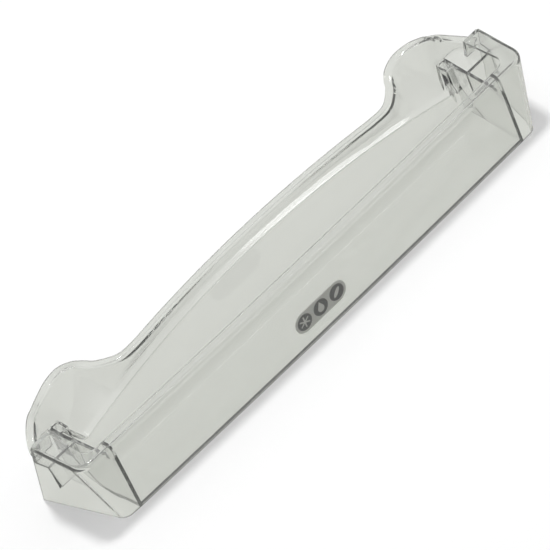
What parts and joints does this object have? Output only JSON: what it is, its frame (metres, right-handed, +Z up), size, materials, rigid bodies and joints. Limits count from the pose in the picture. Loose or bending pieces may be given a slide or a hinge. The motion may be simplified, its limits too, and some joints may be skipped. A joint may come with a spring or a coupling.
{
  "type": "fridge door shelf",
  "caption": "Low clear plastic tray that hangs inside a fridge door, with a straight front wall, hollow end boxes and a back wall that rises in two round lobes.",
  "frame": {"origin": "middle of the bounding box in X and Y, on the plane that the shelf stands on", "axes": "+X along the length, to the right seen from the front wall; +Y from the front wall towards the lobed back wall; +Z up"},
  "size_m": [0.453, 0.0826, 0.073],
  "materials": {
    "clear_plastic": "clear, polished"
  },
  "bodies": {
    "root": {"door_shelf": "clear_plastic"}
  },
  "joints": []
}
